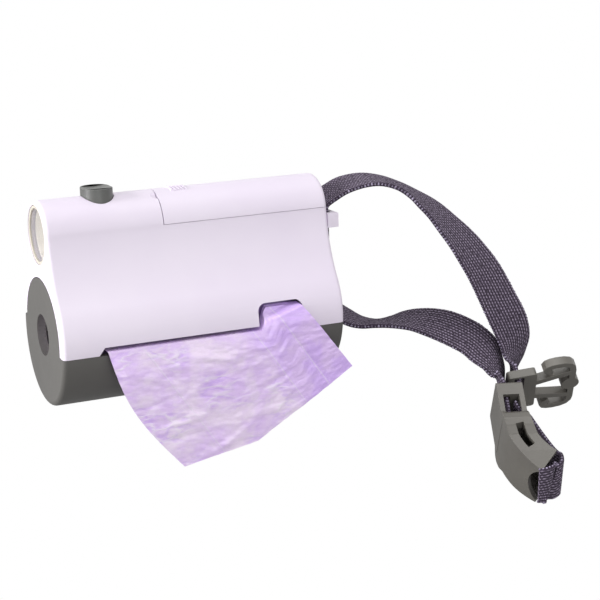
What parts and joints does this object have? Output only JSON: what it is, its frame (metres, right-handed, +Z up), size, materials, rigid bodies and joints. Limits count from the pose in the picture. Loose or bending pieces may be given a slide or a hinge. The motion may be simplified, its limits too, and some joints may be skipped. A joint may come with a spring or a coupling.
{
  "type": "dog poop bag dispenser",
  "caption": "Barrel-shaped bag dispenser with a hinged refill door, a torch tube with push button on top and a webbing strap with a side-release buckle.",
  "frame": {"origin": "on the axis of the bag barrel at the housing's mid-length, where a hand grips it", "axes": "+X along the barrel from the torch window to the strap end, -Y to the front where the bags come out, +Z up from the barrel to the torch button"},
  "size_m": [0.1688, 0.0903, 0.1043],
  "materials": {
    "lilac_shell": "satin moulded ABS",
    "grey_shell": "fine satin",
    "steel": "drawn",
    "grey_button": "satin",
    "black_plastic": "moulded",
    "red_plastic": "moulded",
    "circuit_board": "solder mask",
    "lamp": "cast resin",
    "reflector": "smooth pale bowl",
    "window": "clear",
    "pale_ring": "satin",
    "battery_sleeve": "shrink sleeve",
    "pale_plastic": "moulded",
    "card": "card",
    "bag_film": "thin creased film",
    "webbing": "ribbed polyester webbing",
    "grey_buckle": "moulded acetal"
  },
  "bodies": {
    "body": {"housing": "lilac_shell", "hinge_pin": "steel", "button_spring": "steel", "switch": "black_plastic", "switch_board": "circuit_board", "led": "lamp", "lamp_board": "circuit_board", "reflector": "reflector", "lens": "window", "lens_ring": "pale_ring", "battery": "battery_sleeve", "contact_plate": "steel", "contact_spring": "steel", "roll_spindle": "pale_plastic", "bag_film": "bag_film", "strap_threading": "webbing", "strap_upper": "webbing", "strap_lower": "webbing", "strap_tail": "webbing", "male_buckle": "grey_buckle", "female_buckle": "grey_buckle"},
    "door": {"bag_door": "grey_shell"},
    "cover": {"battery_cover": "lilac_shell"},
    "button": {"torch_button": "grey_button", "switch_plunger": "red_plastic"},
    "roll": {"roll_core": "card", "bag_roll": "bag_film"}
  },
  "joints": [
    {"name": "door_hinge", "type": "hinge", "parent": "body", "child": "door", "pos_m": [0, 0.0194, 0.0042], "axis": [1, 0, 0], "range_deg": [0, 95]},
    {"name": "cover_lift", "type": "slide", "parent": "body", "child": "cover", "axis": [0, 0, 1], "range_m": [0, 0.014]},
    {"name": "button_press", "type": "slide", "parent": "body", "child": "button", "axis": [0, 0, -1], "range_m": [0, 0.0008], "stiffness_N_per_m": 800, "springref_m": -0.001, "deforming": ["button_spring"]},
    {"name": "roll_spin", "type": "hinge", "parent": "body", "child": "roll", "pos_m": [0, 0, 0.001], "axis": [1, 0, 0], "continuous": true}
  ]
}
